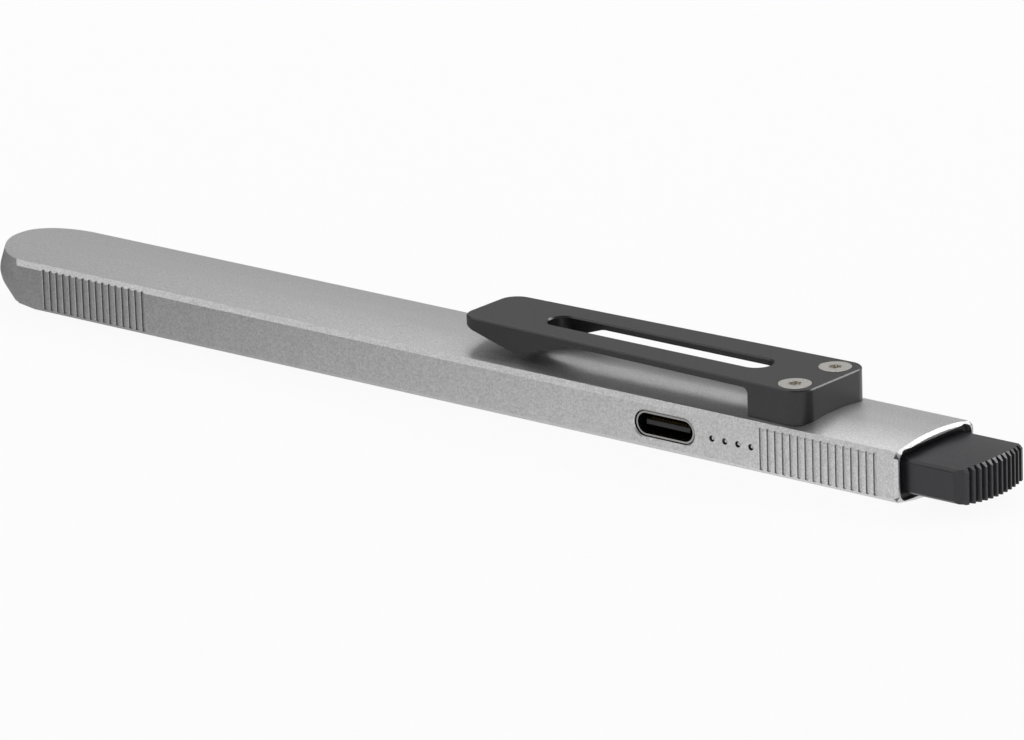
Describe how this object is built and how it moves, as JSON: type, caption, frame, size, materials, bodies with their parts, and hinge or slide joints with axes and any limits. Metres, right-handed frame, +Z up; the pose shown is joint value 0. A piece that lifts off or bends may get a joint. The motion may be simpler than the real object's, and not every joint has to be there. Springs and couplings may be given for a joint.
{
  "type": "flashlight",
  "caption": "Slim flat pocket flashlight with a crowned aluminium housing, a pocket clip, a side charging port and a push button across the tail.",
  "frame": {"origin": "under the middle of the whole object, on the flat land of the housing that it rests on", "axes": "+X from the lens at the nose to the button at the tail, +Z up through the clip, charging port on the -Y side"},
  "size_m": [0.1566, 0.0156, 0.0115],
  "materials": {
    "silver_anodised": "bead-blasted silver anodised aluminium",
    "black_anodised": "fine matte black anodised aluminium",
    "screw_steel": "satin stainless steel",
    "button_plastic": "moulded satin black plastic",
    "collar_plastic": "moulded black plastic",
    "black_rubber": "matte black silicone rubber",
    "lens_glass": "clear coated glass",
    "reflector_metal": "vacuum-metallised, smooth",
    "led_phosphor": "silicone with phosphor",
    "white_board": "aluminium-core board with white solder mask",
    "copper_block": "machined copper",
    "amber_film": "polyimide film",
    "cell_foil": "aluminium pouch foil",
    "nickel": "nickel strip",
    "black_foam": "closed-cell foam",
    "green_board": "glass-fibre board with green solder mask",
    "chip_resin": "moulded epoxy",
    "lead_insulation": "silicone wire insulation",
    "frame_plastic": "moulded nylon",
    "white_plastic": "moulded plastic",
    "ferrite": "moulded ferrite",
    "capacitor_ceramic": "ceramic with tinned ends",
    "port_steel": "deep-drawn stainless steel",
    "port_plastic": "moulded black plastic",
    "contact_gold": "gold-plated copper alloy",
    "lamp_resin": "clear epoxy",
    "clear_acrylic": "clear moulded acrylic",
    "switch_plastic": "moulded black plastic",
    "spring_steel": "drawn stainless spring wire"
  },
  "bodies": {
    "housing": {"housing": "silver_anodised", "lens_window": "lens_glass", "lens_gasket": "black_rubber", "reflector": "reflector_metal", "led_emitter": "led_phosphor", "led_board": "white_board", "heat_spreader": "copper_block", "led_flex": "amber_film", "battery_cell": "cell_foil", "battery_tabs": "nickel", "battery_foam": "black_foam", "protection_board": "green_board", "protection_chip": "chip_resin", "battery_leads": "lead_insulation", "carrier_frame": "frame_plastic", "main_board": "green_board", "flex_connector": "white_plastic", "driver_inductor": "ferrite", "controller_chip": "chip_resin", "charger_chip": "chip_resin", "capacitors": "capacitor_ceramic", "usb_shell": "port_steel", "usb_tongue": "port_plastic", "usb_contacts": "contact_gold", "port_gasket": "black_rubber", "indicator_leds": "lamp_resin", "light_guide": "clear_acrylic", "pocket_clip": "black_anodised", "clip_screws": "screw_steel", "nut_plate": "screw_steel", "switch_case": "switch_plastic", "switch_terminals": "nickel", "return_spring": "spring_steel", "button_seal": "black_rubber", "tail_collar": "collar_plastic"},
    "button": {"button": "button_plastic"},
    "switch_stem": {"switch_stem": "white_plastic"}
  },
  "joints": [
    {"name": "button_press", "type": "slide", "parent": "housing", "child": "button", "axis": [-1, 0, 0], "range_m": [0, 0.0015], "stiffness_N_per_m": 800, "springref_m": -0.0025, "deforming": ["return_spring"]},
    {"name": "switch_stem_slide", "type": "slide", "parent": "housing", "child": "switch_stem", "axis": [-1, 0, 0], "range_m": [0, 0.0015]}
  ],
  "couplings": [
    {"joint": "switch_stem_slide", "follows": "button_press", "ratio": 1}
  ]
}
